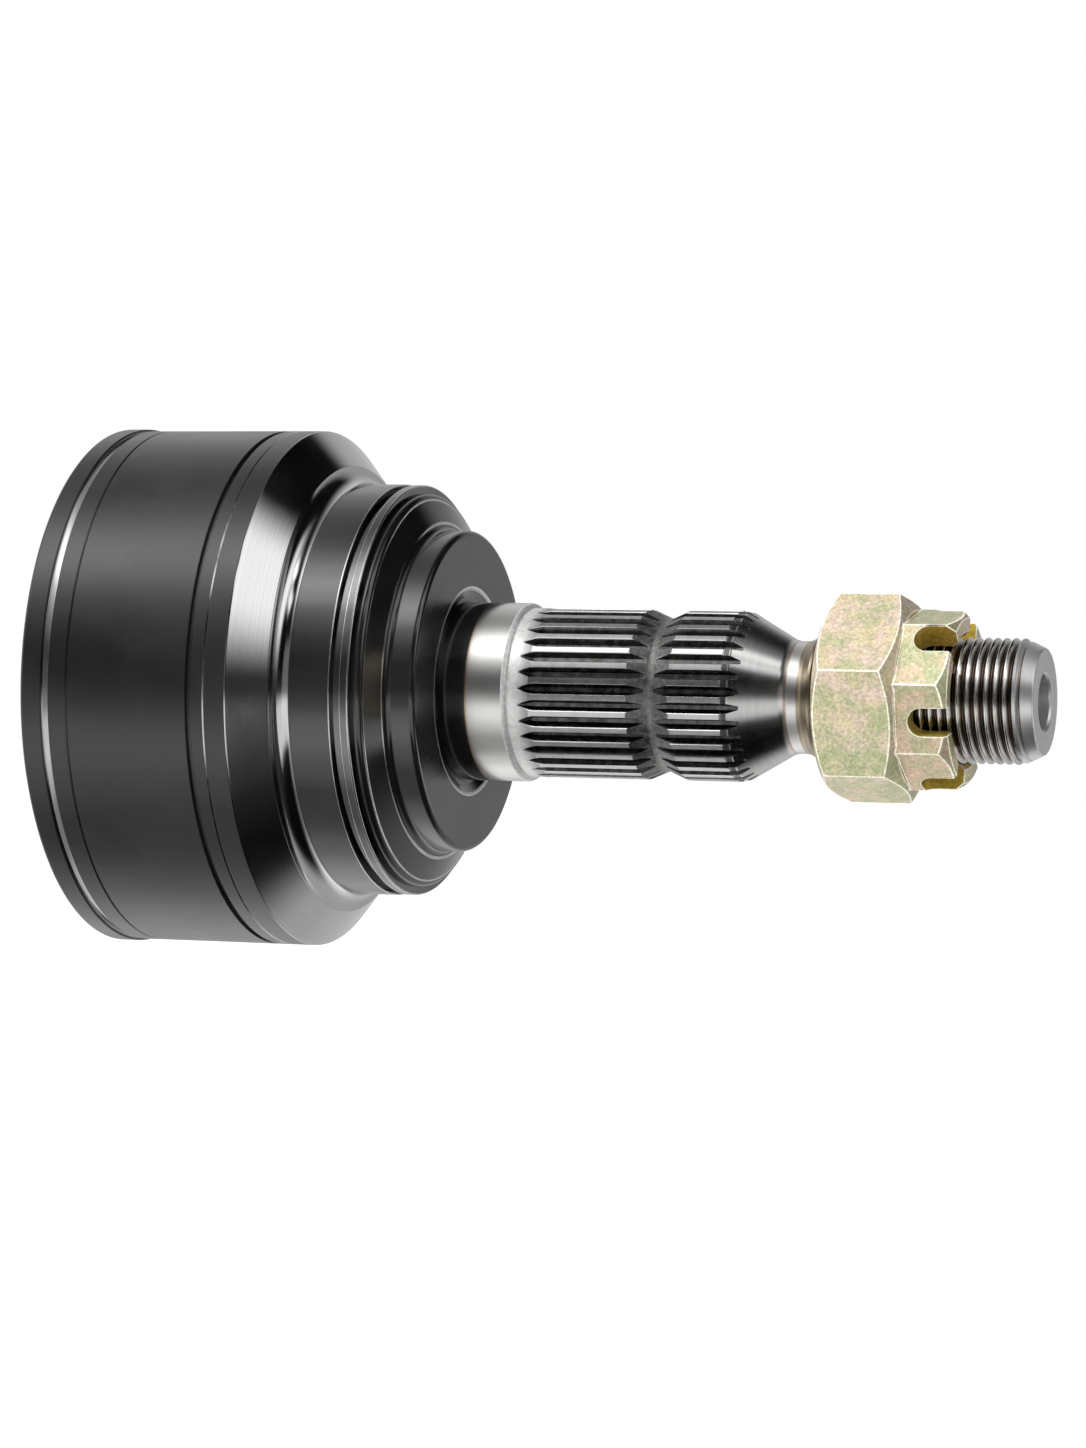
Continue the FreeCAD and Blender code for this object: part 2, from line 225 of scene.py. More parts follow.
def fade(tree, value, low, high, toLow=0.0, toHigh=1.0):
    return addNode(tree, "ShaderNodeMapRange", {0: value, 1: low, 2: high, 3: toLow, 4: toHigh},
                   interpolation_type="SMOOTHSTEP").outputs[0]


def mixColor(tree, factor, first, second):
    made = addNode(tree, "ShaderNodeMix", data_type="RGBA")
    for key, value in ((0, factor), (6, first), (7, second)):
        if isinstance(value, bpy.types.NodeSocket):
            tree.links.new(value, made.inputs[key])
        else:
            made.inputs[key].default_value = value if key == 0 else (*value, 1)
    return made.outputs[2]


def noiseOf(tree, vector, scale, detail=2.0, roughness=0.5):
    return addNode(tree, "ShaderNodeTexNoise", {"Vector": vector, "Scale": scale, "Detail": detail,
                                                "Roughness": roughness}).outputs[0]


# Metal or coating with patches of tone, lathe rings, fine grain and heat tints.
# tints is a list of (x, half width, colour, strength), in mm along the axis, and root
# is the dark bottom of the thread: (inner radius, outer radius, colour, strength).
def makeFinish(name, look):
    material = bpy.data.materials.new(name)
    material.use_nodes = True
    tree = material.node_tree
    shader = tree.nodes["Principled BSDF"]
    place = addNode(tree, "ShaderNodeTexCoord").outputs["Object"]
    split = addNode(tree, "ShaderNodeSeparateXYZ", {0: place})
    x, y, z = split.outputs
    squares = mathOf(tree, "ADD", mathOf(tree, "MULTIPLY", y, y), mathOf(tree, "MULTIPLY", z, z))
    radius = mathOf(tree, "SQRT", squares)
    lathe = addNode(tree, "ShaderNodeCombineXYZ", {0: x, 1: radius}).outputs[0]

    patches = noiseOf(tree, place, look.get("patchScale", 90), 3)
    patches = fade(tree, patches, 0.35, 0.65)
    rings = noiseOf(tree, lathe, look.get("ringScale", 5000), 2)
    grain = noiseOf(tree, place, look.get("grainScale", 6000), 2)
    ringTone = look.get("ringTone", 0.4)
    tone = mathOf(tree, "ADD", mathOf(tree, "MULTIPLY", patches, 1 - ringTone),
                  mathOf(tree, "MULTIPLY", rings, ringTone))
    color = mixColor(tree, tone, look["dark"], look["light"])
    for tintX, width, tint, strength in look.get("tints", []):
        away = mathOf(tree, "ABSOLUTE", mathOf(tree, "SUBTRACT", x, tintX * mm))
        color = mixColor(tree, fade(tree, away, 0, width * mm, strength, 0), color, tint)
    if look.get("root"):
        low, high, tint, strength = look["root"]
        color = mixColor(tree, fade(tree, radius, low * mm, high * mm, strength, 0), color, tint)
    tree.links.new(color, shader.inputs["Base Color"])

    low, high = look["roughness"]
    mottle = mathOf(tree, "ADD", mathOf(tree, "MULTIPLY", patches, 0.5), mathOf(tree, "MULTIPLY", grain, 0.5))
    tree.links.new(fade(tree, mottle, 0.2, 0.8, low, high), shader.inputs["Roughness"])
    shader.inputs["Metallic"].default_value = look.get("metallic", 1.0)
    shader.inputs["IOR"].default_value = look.get("ior", 1.5)
    shader.inputs["Coat Weight"].default_value = look.get("coat", 0.0)
    shader.inputs["Coat Roughness"].default_value = look.get("coatRoughness", 0.15)

    ringBump = addNode(tree, "ShaderNodeBump", {"Strength": 1.0, "Distance": look.get("ringDepth", 0.0) * mm,
                                                "Height": rings})
    bump = addNode(tree, "ShaderNodeBump", {"Strength": 1.0, "Distance": look.get("grainDepth", 0.0) * mm,
                                            "Height": grain, "Normal": ringBump.outputs[0]})
    tree.links.new(bump.outputs[0], shader.inputs["Normal"])
    if look.get("anisotropy"):
        shader.inputs["Anisotropic"].default_value = look["anisotropy"]
        tangent = addNode(tree, "ShaderNodeTangent", direction_type="RADIAL", axis="X")
        tree.links.new(tangent.outputs[0], shader.inputs["Tangent"])
    return material


finishes = {
    "blackSatin": {"dark": (0.004, 0.004, 0.0045), "light": (0.010, 0.010, 0.010), "metallic": 0.0,
                   "roughness": (0.23, 0.30), "ior": 1.55, "ringDepth": 0.0003, "grainDepth": 0.0004,
                   "patchScale": 60},
    "blackGloss": {"dark": (0.003, 0.003, 0.0035), "light": (0.008, 0.008, 0.008), "metallic": 0.0,
                   "roughness": (0.11, 0.16), "ior": 1.7, "ringDepth": 0.0003, "patchScale": 80},
    "blackFace": {"dark": (0.006, 0.006, 0.0065), "light": (0.020, 0.020, 0.020), "metallic": 0.0,
                  "roughness": (0.24, 0.32), "ior": 1.8, "ringDepth": 0.0012, "ringTone": 0.8,
                  "ringScale": 2500},
    "latheCone": {"dark": (0.46, 0.46, 0.465), "light": (0.66, 0.66, 0.66), "roughness": (0.10, 0.15),
                  "ringDepth": 0.0007, "ringTone": 0.9, "ringScale": 4000, "anisotropy": 0.2},
    "lipSteel": {"dark": (0.30, 0.30, 0.30), "light": (0.46, 0.46, 0.46), "roughness": (0.12, 0.18),
                 "ringDepth": 0.0004, "ringTone": 0.6},
    "ringSteel": {"dark": (0.10, 0.10, 0.10), "light": (0.20, 0.20, 0.20), "roughness": (0.12, 0.18),
                  "ringDepth": 0.0006, "ringTone": 0.6},
    "groundSteel": {"dark": (0.50, 0.495, 0.48), "light": (0.62, 0.615, 0.60), "roughness": (0.19, 0.26),
                    "ringDepth": 0.0004, "ringTone": 0.7, "tints": [(44.1, 0.55, (0.42, 0.27, 0.14), 0.75)]},
    "blastedSteel": {"dark": (0.60, 0.595, 0.585), "light": (0.74, 0.735, 0.725), "roughness": (0.42, 0.50),
                     "metallic": 0.75, "grainDepth": 0.0028, "grainScale": 5200, "patchScale": 1500,
                     "ringTone": 0.0, "tints": [(55.0, 3.2, (0.22, 0.217, 0.21), 0.9)]},
    "waistSteel": {"dark": (0.15, 0.148, 0.144), "light": (0.24, 0.237, 0.231), "roughness": (0.40, 0.48),
                   "grainDepth": 0.0028, "grainScale": 5200, "patchScale": 1500, "ringTone": 0.0},
    "landSteel": {"dark": (0.34, 0.335, 0.33), "light": (0.44, 0.435, 0.43), "roughness": (0.20, 0.25),
                  "grainDepth": 0.0003, "patchScale": 500, "ringTone": 0.5, "ringScale": 1500},
    "crestSteel": {"dark": (0.62, 0.615, 0.61), "light": (0.74, 0.735, 0.73), "roughness": (0.28, 0.36),
                   "patchScale": 700, "ringTone": 0.3},
    "chamferSteel": {"dark": (0.80, 0.80, 0.795), "light": (0.98, 0.98, 0.975), "roughness": (0.36, 0.46),
                     "ringDepth": 0.0012, "ringTone": 0.8, "ringScale": 3500},
    "edgeSteel": {"dark": (0.46, 0.46, 0.46), "light": (0.64, 0.64, 0.64), "roughness": (0.14, 0.20),
                  "patchScale": 700, "ringTone": 0.3},
    # Floors and flanks of the spline grooves are near black: painted shade in the grooves
    "shadedSplineSteel": {"dark": (0.045, 0.044, 0.043), "light": (0.11, 0.108, 0.105), "roughness": (0.20, 0.30),
                    "grainDepth": 0.0008, "patchScale": 900, "ringTone": 0.1},
    "neckSteel": {"dark": (0.46, 0.455, 0.445), "light": (0.62, 0.615, 0.605), "roughness": (0.16, 0.22),
                  "ringDepth": 0.0008, "ringTone": 0.8, "ringScale": 4000, "anisotropy": 0.2,
                  "tints": [(96.2, 0.4, (0.30, 0.20, 0.12), 0.7), (98.2, 0.35, (0.30, 0.20, 0.12), 0.7)]},
    "flareBronze": {"dark": (0.05, 0.036, 0.024), "light": (0.50, 0.42, 0.31), "roughness": (0.20, 0.28),
                    "ringDepth": 0.0008, "ringTone": 1.0, "ringScale": 1800},
    "threadSteel": {"dark": (0.58, 0.57, 0.555), "light": (0.74, 0.73, 0.72), "roughness": (0.12, 0.19),
                    "grainDepth": 0.0006, "patchScale": 700, "ringTone": 0.1,
                    "root": (9.10, 9.75, (0.07, 0.045, 0.03), 0.95)},
    "endFaceSteel": {"dark": (0.42, 0.42, 0.415), "light": (0.60, 0.60, 0.595), "roughness": (0.24, 0.32),
                     "ringDepth": 0.0012, "ringTone": 0.8, "ringScale": 3500, "anisotropy": 0.2},
    "grooveSteel": {"dark": (0.33, 0.325, 0.315), "light": (0.43, 0.425, 0.41), "roughness": (0.20, 0.26),
                    "ringDepth": 0.0005, "patchScale": 110, "ringTone": 0.6, "ringScale": 3000},
    "starSteel": {"dark": (0.34, 0.335, 0.33), "light": (0.50, 0.495, 0.49), "roughness": (0.22, 0.32),
                  "ringDepth": 0.0006, "ringTone": 0.5},
    "phosphateCage": {"dark": (0.045, 0.045, 0.047), "light": (0.095, 0.094, 0.092), "metallic": 0.35,
                      "roughness": (0.38, 0.5), "grainDepth": 0.003, "patchScale": 300, "ringTone": 0.2},
    "ballChrome": {"dark": (0.60, 0.605, 0.61), "light": (0.68, 0.68, 0.68), "roughness": (0.06, 0.11),
                   "patchScale": 200, "ringTone": 0.0},
    "springWire": {"dark": (0.12, 0.12, 0.13), "light": (0.22, 0.22, 0.22), "roughness": (0.28, 0.36),
                   "grainDepth": 0.001, "patchScale": 400, "ringTone": 0.1},
}
material = {name: makeFinish(name, look) for name, look in finishes.items()}


# Yellow zinc: cream with rose and green clouds, sandy grain and fine pits
zinc = {"gold": (0.68, 0.59, 0.37), "rose": (0.76, 0.60, 0.50), "green": (0.45, 0.48, 0.27),
        "cloudScale": 260, "breakScale": 1400, "grainScale": 2600, "grainDepth": 0.009,
        "roughness": (0.38, 0.50), "metallic": 0.6, "tilt": 0.03}
# The nut's bevelled edges are near-white: partly worn plating, partly a painted highlight that draws bright
# edge lines
wornZincEdgeAndHighlight = dict(zinc, gold=(0.96, 0.92, 0.76), rose=(0.97, 0.90, 0.80), green=(0.88, 0.88, 0.68),
                roughness=(0.24, 0.34), metallic=0.3)
# The crown's copy of the zinc is darker: painted shade that tones down the light falling on its upper flat
shadedZincCrown = dict(zinc, gold=(0.52, 0.46, 0.29), rose=(0.66, 0.48, 0.36), green=(0.40, 0.43, 0.25),
                 tilt=-0.06)
zincSlot = dict(zinc, gold=(0.58, 0.39, 0.06), rose=(0.66, 0.42, 0.08), green=(0.46, 0.35, 0.05))


def makeZinc(name, look):
    made = bpy.data.materials.new(name)
    made.use_nodes = True
    tree = made.node_tree
    shader = tree.nodes["Principled BSDF"]
    place = addNode(tree, "ShaderNodeTexCoord").outputs["Object"]
    moved = addNode(tree, "ShaderNodeMapping", {"Vector": place, "Location": (0.31, 0.17, 0.05)}).outputs[0]
    broken = noiseOf(tree, moved, look["breakScale"], 5, 0.7)
    clouds = noiseOf(tree, place, look["cloudScale"], 6, 0.65)
    clouds = mathOf(tree, "ADD", mathOf(tree, "MULTIPLY", clouds, 0.75),
                    mathOf(tree, "MULTIPLY", broken, 0.25))
    others = noiseOf(tree, moved, look["cloudScale"] * 0.8, 6, 0.7)
    others = mathOf(tree, "ADD", mathOf(tree, "MULTIPLY", others, 0.75),
                    mathOf(tree, "MULTIPLY", broken, 0.25))
    grain = noiseOf(tree, place, look["grainScale"], 3, 0.6)
    speck = fade(tree, noiseOf(tree, place, look["grainScale"] * 0.7, 5, 0.8), 0.38, 0.62, 0.72, 1.12)
    # the hexagon is greener on its lower flat, the crown on its upper one
    height = addNode(tree, "ShaderNodeSeparateXYZ", {0: place}).outputs[2]
    others = mathOf(tree, "ADD", others, fade(tree, height, -4 * mm, 6 * mm, look["tilt"], -look["tilt"]))
    color = mixColor(tree, fade(tree, clouds, 0.40, 0.58), look["gold"], look["rose"])
    color = mixColor(tree, fade(tree, others, 0.43, 0.62), color, look["green"])
    color = addNode(tree, "ShaderNodeVectorMath", {0: color, "Scale": speck}, operation="SCALE").outputs[0]
    tree.links.new(color, shader.inputs["Base Color"])
    low, high = look["roughness"]
    tree.links.new(fade(tree, grain, 0.3, 0.7, low, high), shader.inputs["Roughness"])
    shader.inputs["Metallic"].default_value = look["metallic"]
    bump = addNode(tree, "ShaderNodeBump", {"Strength": 1.0, "Distance": look["grainDepth"] * mm,
                                            "Height": grain})
    tree.links.new(bump.outputs[0], shader.inputs["Normal"])
    return made


zincLooks = {"yellowZinc": zinc, "wornZincEdgeAndHighlight": wornZincEdgeAndHighlight, "shadedZincCrown": shadedZincCrown, "zincSlot": zincSlot}
material.update({name: makeZinc(name, look) for name, look in zincLooks.items()})


# Gives faces their finish by where they are: (finish, test of x, radius, normal along the axis and outward)
def paintZones(piece, zones):
    piece.data.materials.clear()
    names = []
    for finish, _ in zones:
        if finish not in names:
            names.append(finish)
            piece.data.materials.append(material[finish])
    enterEdit(piece)
    for finish, inZone in zones:
        pickFaces(piece, lambda co, normal: inZone(
            co.x / mm, math.hypot(co.y, co.z) / mm, normal.x,
            (normal.y * co.y + normal.z * co.z) / max(math.hypot(co.y, co.z), 1e-6)))
        piece.active_material_index = names.index(finish)
        bpy.ops.object.material_slot_assign()
    bpy.ops.object.mode_set(mode="OBJECT")


def dress(piece, body, nodes):
    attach(piece, body)
    if nodes:
        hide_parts(*nodes)


# Bell and stub shaft, one forging

forging = {"steps": 192, "splineTeeth": 32, "splineTurn": 3.1,
           "threadPitch": 1.5, "threadTurns": 26, "threadSteps": 96, "threadStart": 99.0,
           "threadMiddle": 9.54, "threadSharp": 0.65, "threadRound": 0.33,
           "tracks": 6, "trackCentre": -3.0, "trackReach": 29.156, "trackBore": 8.931}


# Helical thread body: one pitch of a rounded 60 degree profile, screwed along the axis
def makeThread(look):
    pitch, startX = look["threadPitch"], look["threadStart"]
    middle, sharp = look["threadMiddle"], look["threadSharp"]
    root = (startX + pitch / 4, middle - sharp)
    crest = (startX + 3 * pitch / 4, middle + sharp)
    thread = drawOutline("thread", [(startX, middle), root, crest, (startX + pitch, middle)])
    roundCorners(thread, {look["threadRound"]: [root, crest]}, 5)
    bpy.ops.object.mode_set(mode="OBJECT")
    activate(thread)
    bpy.ops.object.modifier_add(type="SCREW")
    screw = thread.modifiers[-1]
    screw.axis = "X"
    screw.angle = 2 * math.pi
    screw.screw_offset = pitch * mm
    screw.iterations = look["threadTurns"]
    screw.steps = screw.render_steps = look["threadSteps"]
    screw.use_merge_vertices = True
    screw.merge_threshold = mergeGap
    bpy.ops.object.modifier_apply(modifier=screw.name)
    enterEdit(thread)
    bpy.ops.mesh.select_all(action="SELECT")
    bpy.ops.mesh.remove_doubles(threshold=mergeGap)
    # each open end is drawn in to one point on the axis
    middleX = startX + pitch * look["threadTurns"] / 2
    for side in (-1, 1):
        bpy.ops.mesh.select_mode(type="EDGE")
        bpy.ops.mesh.select_all(action="DESELECT")
        bpy.ops.mesh.select_non_manifold(use_non_contiguous=False)
        mesh = bmesh.from_edit_mesh(thread.data)
        for edge in mesh.edges:
            if edge.select and side * (edge.verts[0].co.x / mm - middleX) < 0:
                edge.select = False
        mesh.select_flush_mode()
        bmesh.update_edit_mesh(thread.data)
        bpy.ops.mesh.extrude_edges_move()
        bpy.ops.mesh.merge(type="CENTER")
    closeMesh(thread)
    return thread


# What is left of the shaft's end once the thread is cut
def makeThreadTool(look):
    farX, farR = -60, 70  # clear of the whole bell
    sleeve = drawOutline("sleeve", [
        (farX, 0), (farX, farR), (99.9, farR), (99.9, 10.6), (101.9, 8.6), (101.9, 0)])
    turnOutline(sleeve, look["threadSteps"])
    applyBoolean(sleeve, makeThread(look), "UNION")
    return sleeve


# Groove profiles (x, floor radius, half width at the floor, half width at the top), from run-out to the end
def makeSplineCutter(name, look, sections, top):
    loftLoops(name, [
        [(x, -floor, -half), (x, -floor, half), (x, -top, wide), (x, -top, -wide)]
        for x, floor, half, wide in sections])
    cutter = bpy.context.object
    turnMesh(look["splineTurn"] + 180 / look["splineTeeth"])
    ringCopies(look["splineTeeth"])
    bpy.ops.object.mode_set(mode="OBJECT")
    return cutter


# First the groove with its pointed run-out, then a narrow bevel along both its edges
def cutSplines(piece, look):
    startX, length, endX = 52.9, 2.5, 92.0
    tip, root, top, bevel = 13.8, 12.6, 14.6, 0.15
    pointHalf, halfGain, flank = 0.02, 0.29, 0.5
    grooves, edges = [], []
    for share in (0.0, 0.25, 0.5, 0.75, 1.0):
        floor = tip - (tip - root) * (1 - (1 - share) ** 2)
        half = pointHalf + halfGain * share
        grooves.append((startX + length * share, floor, half, half + flank * (top - floor)))
        half = max(half + flank * (tip - bevel - floor), 0.01)
        edges.append((startX + length * share, tip - bevel, half, half + top - tip + bevel))
    for sections in (grooves, edges):
        sections.append((endX, *sections[-1][1:]))
    applyBoolean(piece, makeSplineCutter("splineGrooves", look, grooves, top), "DIFFERENCE")
    applyBoolean(piece, makeSplineCutter("splineEdges", look, edges, top), "DIFFERENCE")


# Tubes that the balls run in, about their own centre 3 mm towards the mouth from the joint's
def makeTrackCutter(look):
    first, last = math.radians(42.75), math.radians(121.8)
    deselectAll()
    bpy.ops.mesh.primitive_circle_add(vertices=64, radius=look["trackBore"] * mm,
                                      location=(look["trackReach"] * mm, 0, 0), rotation=(math.pi / 2, 0, 0))
    cutter = bpy.context.object
    cutter.name = "trackCutter"
    bpy.ops.object.transform_apply(location=True, rotation=True, scale=True)
    enterEdit(cutter)
    bpy.ops.mesh.select_all(action="SELECT")
    bpy.ops.mesh.spin(steps=48, angle=last - first, center=(0, 0, 0), axis=(0, 0, 1))
    bpy.ops.mesh.select_all(action="DESELECT")
    bpy.ops.mesh.select_mode(type="EDGE")
    bpy.ops.mesh.select_non_manifold(use_non_contiguous=False)
    bpy.ops.mesh.edge_face_add()
    bpy.ops.mesh.select_all(action="SELECT")
    bpy.ops.transform.rotate(value=first, orient_axis="Z", center_override=(0, 0, 0))
    bpy.ops.transform.translate(value=(look["trackCentre"] * mm, 0, 0))
    bpy.ops.mesh.normals_make_consistent(inside=False)
    ringCopies(look["tracks"])
    bpy.ops.object.mode_set(mode="OBJECT")
    return cutter


def makeForging(look):
    bell = [
        (25.0, 0), (25.0, 18.336), (0, 0, 77.96, 28), (-20.9, 36.456), (-21.4, 36.956),
        (-21.4, 42.487), (-20.9, 42.987), (-17.7, 42.987), (-17.7, 42.337), (-16.5, 42.337), (-16.5, 42.687),
        (-13.55, 42.687), (-13.35, 42.537), (-13.15, 42.687), (7.4, 42.687), (7.4, 41.987), (8.25, 41.987),
        (8.25, 42.687), (10.35, 42.687), (10.55, 42.567), (10.75, 42.687), (14.2, 42.687)]
    steps = [
        (19.1, 36.9), (19.1, 33.9), (28.4, 33.9), (28.4, 32.4), (33.15, 32.4), (33.15, 31.3), (35.0, 27.6),
        (35.0, 26.4), (39.9, 26.4), (39.9, 16.9), (38.9, 15.3), (38.9, 14.6), (44.1, 14.6)]
    shaft = [
        (51.0, 14.6), (51.0, 13.8), (54.6, 13.8), (71.1, 13.8), (74.3, 12.4), (75.0, 12.4), (78.2, 13.8),
        (86.8, 13.8), (86.8, 13.55), (88.0, 13.55), (95.8, 9.05), (98.5, 9.05), (100.0, 10.05),
        (133.0, 10.05), (136.4, 8.48), (136.4, 4.8), (136.0, 4.4), (125.4, 4.4), (122.76, 0)]
    piece = drawOutline("bellForging", bell + steps + shaft)
    roundCorners(piece, {
        2.9: [(19.1, 33.9)],
        1.15: [(35.0, 26.4)],
        1.05: [(33.15, 32.4)],
        1.0: [(39.9, 26.4)],
        0.75: [(51.0, 14.6)]}, 8)
    roundCorners(piece, {
        0.30: [(74.3, 12.4), (75.0, 12.4), (-17.7, 42.337), (-16.5, 42.337)],
        0.35: [(39.9, 16.9)],
        0.80: [(95.8, 9.05), (98.5, 9.05)],
        0.25: [(33.15, 31.3), (35.0, 27.6), (38.9, 15.3), (136.4, 8.48), (133.0, 10.05), (-17.7, 42.987)],
        0.18: [(-16.5, 42.687), (7.4, 42.687), (8.25, 42.687), (14.2, 42.687), (19.1, 36.9),
               (28.4, 33.9), (71.1, 13.8), (78.2, 13.8), (88.0, 13.55),
               (-20.9, 42.987), (-21.4, 42.487)],
        0.10: [(7.4, 41.987), (8.25, 41.987), (136.0, 4.4), (136.4, 4.8),
               (28.4, 32.4), (38.9, 14.6), (86.8, 13.8), (86.8, 13.55), (-21.4, 36.956), (-20.9, 36.456)]})
    turnOutline(piece, look["steps"])
    cutSplines(piece, look)
    applyBoolean(piece, makeTrackCutter(look), "DIFFERENCE")
    applyBoolean(piece, makeThreadTool(look), "INTERSECT")
    return piece


bellForging = makeForging(forging)
paintZones(bellForging, [
    ("blackSatin", lambda x, r, along, out: True),
    ("lipSteel", lambda x, r, along, out: -17.72 < x < -16.48 and 42.2 < r < 42.67),
    ("latheCone", lambda x, r, along, out: 14.15 < x < 21.6 and r > 33.91 and out > -0.5),
    ("blackGloss", lambda x, r, along, out: 21.6 < x < 44.1 and r > 14.0 and out > -0.5),
    ("blackFace", lambda x, r, along, out: x > 39.8 and 17.3 < r < 25.5 or x < -20.8 and along < -0.9),
    ("ringSteel", lambda x, r, along, out: 38.85 < x < 39.95 and 15.1 < r < 16.6),
    # the relief's rounded edge in light blasted steel: a painted highlight line round the relief
    ("blastedSteel", lambda x, r, along, out: 39.6 < x < 39.95 and 16.6 < r < 17.25 and along < 0.995),
    ("edgeSteel", lambda x, r, along, out: along > 0.05 and (10.3 < x < 10.6 or 28.2 < x < 28.5 and r > 33.6
        or 32.9 < x < 33.2 and 31.0 < r < 31.45 or 34.8 < x < 35.05 and 27.3 < r < 27.85)),
    ("groundSteel", lambda x, r, along, out: 44.1 < x < 50.3 and r > 14.0),
    ("blastedSteel", lambda x, r, along, out: 50.3 < x < 56 and r > 13.0),
    ("landSteel", lambda x, r, along, out: 56 < x < 71.1 or 78.2 < x < 88.2),
    # the spline grooves get the near-black steel of painted shade
    ("shadedSplineSteel", lambda x, r, along, out: r < 13.78 and (
        52.9 < x < 90.9 and (out < 0.8 or abs(along) < 0.1) or 52.9 < x < 55.5)),
    ("crestSteel", lambda x, r, along, out: 52.7 < x < 90.9 and 13.6 < r < 13.82 and 0.6 < out < 0.85
        and abs(along) < 0.35),
    ("waistSteel", lambda x, r, along, out: 71.1 < x < 78.25 and r < 13.85 and abs(along) > 0.1 and out > 0.8
        or 73.9 < x < 75.4 and r < 12.55),
    ("neckSteel", lambda x, r, along, out: 86.7 < x < 98.5 and (along > 0.2 and out > 0.5 or x > 95.0)),
    ("threadSteel", lambda x, r, along, out: x > 100.3),
    ("flareBronze", lambda x, r, along, out: 98.45 < x < 101.9),
    ("chamferSteel", lambda x, r, along, out: x > 132.9 and along > 0.3 or x > 122 and r < 5.0),
    ("endFaceSteel", lambda x, r, along, out: x > 136.3 and along > 0.9),
    ("grooveSteel", lambda x, r, along, out: x < 25.2 and 28.4 < r < 38.2 and out < -0.05),
])
smoothShade(bellForging, 28)
dress(bellForging, "outer", ["outer_race"])
print("forging: bell, steps, splines and thread,", len(bellForging.data.polygons), "faces")


# Dust ring behind the collar

ring = {"startX": 28.4, "flangeX": 29.95, "endX": 31.55, "seat": 32.4, "sleeve": 32.9, "flange": 33.8,
        "edge": 0.25, "innerEdge": 0.08, "steps": 192}


def makeRing(look):
    startX, flangeX, endX = look["startX"], look["flangeX"], look["endX"]
    piece = drawOutline("dustRing", [
        (startX, look["seat"]), (startX, look["sleeve"]), (flangeX, look["sleeve"]),
        (flangeX, look["flange"]), (endX, look["flange"]), (endX, look["seat"]), (startX, look["seat"])])
    roundCorners(piece, {look["edge"]: [(flangeX, look["flange"]), (endX, look["flange"])],
                         look["innerEdge"]: [(flangeX, look["sleeve"])]})
    turnOutline(piece, look["steps"])
    return piece


dustRing = makeRing(ring)
paintZones(dustRing, [
    ("ringSteel", lambda x, r, along, out: True),
    ("edgeSteel", lambda x, r, along, out: abs(along) > 0.1 and out > 0.1)])
smoothShade(dustRing, 40)
dress(dustRing, "outer", ["dust_ring"])
print("dust ring,", len(dustRing.data.polygons), "faces")


# Castle nut

nut = {"startX": 102.0, "hexHeight": 13.5, "flats": 30.0, "hexTurn": 45.5, "seat": 14.2,
       "crownHeight": 8.3, "crownRadius": 14.6, "crownTurn": -9.1, "crownBite": 1.5,
       "bore": 10.05, "boreMouth": 11.95, "boreTurn": 1.7, "slotWidth": 4.5, "slotDepth": 6.3,
       "edge": 0.16, "steps": 96}


# Upright prism round the axis, its first corner down from the near side by the turn
def makePrism(name, sides, radius, turn, x, length):
    deselectAll()
    bpy.ops.mesh.primitive_cylinder_add(vertices=sides, radius=radius * mm, depth=length * mm,
                                        location=((x + length / 2) * mm, 0, 0), rotation=(0, math.pi / 2, 0))
    piece = bpy.context.object
    piece.name = name
    bpy.ops.object.transform_apply(location=True, rotation=True, scale=True)
    corner = max(piece.data.vertices, key=lambda vert: -vert.co.y).co
    now = math.degrees(math.atan2(-corner.z, -corner.y))
    enterEdit(piece)
    turnMesh(turn - now)
    bpy.ops.object.mode_set(mode="OBJECT")
    return piece


